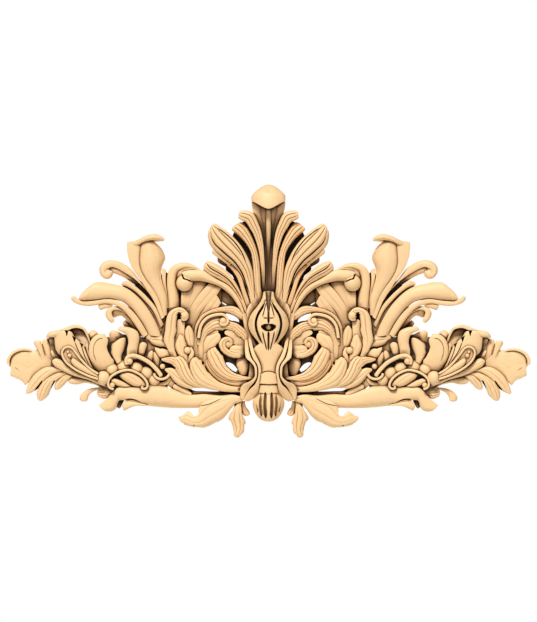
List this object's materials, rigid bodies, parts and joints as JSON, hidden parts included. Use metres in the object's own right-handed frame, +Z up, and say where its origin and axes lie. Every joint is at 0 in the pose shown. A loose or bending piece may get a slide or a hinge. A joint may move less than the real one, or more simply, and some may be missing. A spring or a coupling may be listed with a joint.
{
  "type": "floral pediment",
  "caption": "Carved wooden overdoor pediment: acanthus leaves, scrolls and plumes around a bossed centre, mirrored left and right, flat at the back for fixing to a wall or cornice",
  "frame": {"origin": "on the flat back, on the middle line, at half the height of the sheet that the carving is drawn on", "axes": "+X to the right along the wings, +Y into the wall, so that the carving faces -Y, and +Z up"},
  "size_m": [1.0464, 0.0902, 0.5081],
  "materials": {
    "carved_wood": "pale limewood, satin wax, darker in the hollows"
  },
  "bodies": {
    "root": {"pediment_carving": "carved_wood"}
  },
  "joints": []
}
